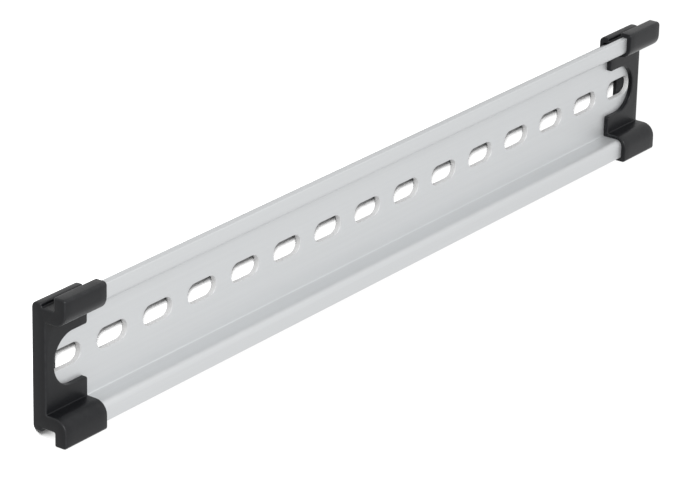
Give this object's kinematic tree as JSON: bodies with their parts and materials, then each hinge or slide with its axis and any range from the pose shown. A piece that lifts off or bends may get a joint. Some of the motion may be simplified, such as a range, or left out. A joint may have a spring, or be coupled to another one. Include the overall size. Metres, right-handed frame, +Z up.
{
  "type": "din rail",
  "caption": "Slotted 35 mm top-hat mounting rail with a moulded plastic cap over each end, for clipping switchgear and terminals onto a panel.",
  "frame": {"origin": "middle of the rail, on the plane its two end caps rest on", "axes": "+X along the rail toward the right end cap, +Y across the rail toward the flange seen on top, +Z up out of the open front of the trough"},
  "size_m": [0.2522, 0.0374, 0.0101],
  "materials": {
    "rail_metal": "matt satin anodised extrusion",
    "cap_plastic": "fine moulded satin black"
  },
  "bodies": {
    "root": {"rail": "rail_metal", "left_end_cap": "cap_plastic", "right_end_cap": "cap_plastic"}
  },
  "joints": []
}
